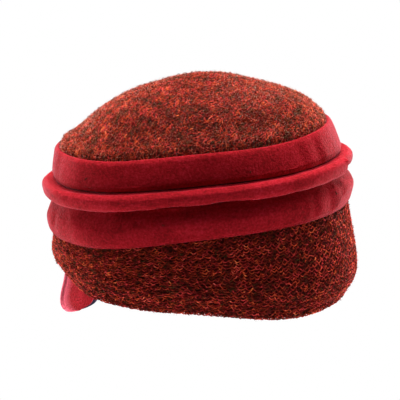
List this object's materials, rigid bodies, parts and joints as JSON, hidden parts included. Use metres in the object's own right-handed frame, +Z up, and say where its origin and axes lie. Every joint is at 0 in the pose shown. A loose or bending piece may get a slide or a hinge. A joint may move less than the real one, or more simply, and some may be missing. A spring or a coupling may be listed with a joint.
{
  "type": "beanie",
  "caption": "Soft domed wool beanie with a deep brim, a felt band with a rolled tuck round it, and a felt tab that hangs below the rim at the back.",
  "frame": {"origin": "the point on the inside of the crown where the top of the head bears", "axes": "+Z up, +X towards the deep end of the brim, the tab hangs towards -X and +Y"},
  "size_m": [0.219, 0.1898, 0.1858],
  "materials": {
    "boucle_wool": "looped wool knit in rust, red, olive and black",
    "crimson_felt": "soft milled crimson felt",
    "navy_felt": "thin navy felt"
  },
  "bodies": {
    "root": {"crown": "boucle_wool", "brim": "boucle_wool", "band_upper": "crimson_felt", "piping": "crimson_felt", "band_lower": "crimson_felt", "tab": "crimson_felt", "tab_insert": "navy_felt"}
  },
  "joints": []
}
